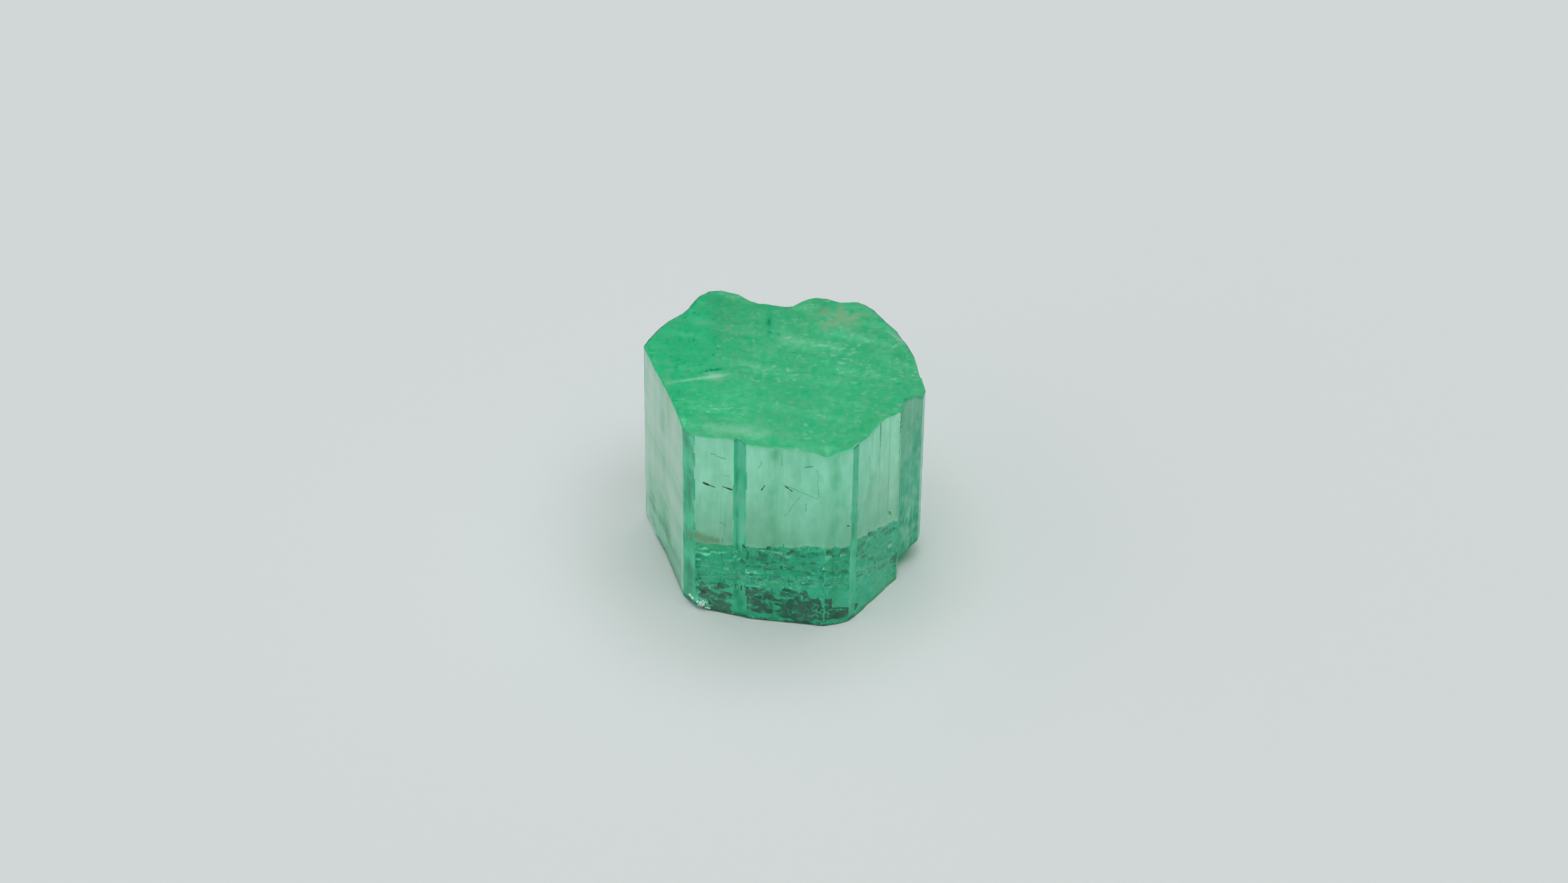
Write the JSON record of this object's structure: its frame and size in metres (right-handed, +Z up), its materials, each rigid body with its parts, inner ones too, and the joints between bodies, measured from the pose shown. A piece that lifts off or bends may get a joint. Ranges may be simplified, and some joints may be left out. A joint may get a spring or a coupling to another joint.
{
  "type": "emerald crystal",
  "caption": "Stubby hexagonal prism of clear green beryl with ridged side faces, broken across at the top and at the foot, resting upright on its foot.",
  "frame": {"origin": "centre of the crystal's plan at the level of the surface it stands on", "axes": "+Z up along the prism, -Y towards the broad front face, +X towards the narrow second column"},
  "size_m": [0.0118, 0.0106, 0.0101],
  "materials": {
    "emerald": "clear glassy growth faces, frosted on the breaks"
  },
  "bodies": {
    "root": {"emerald_crystal": "emerald"}
  },
  "joints": []
}
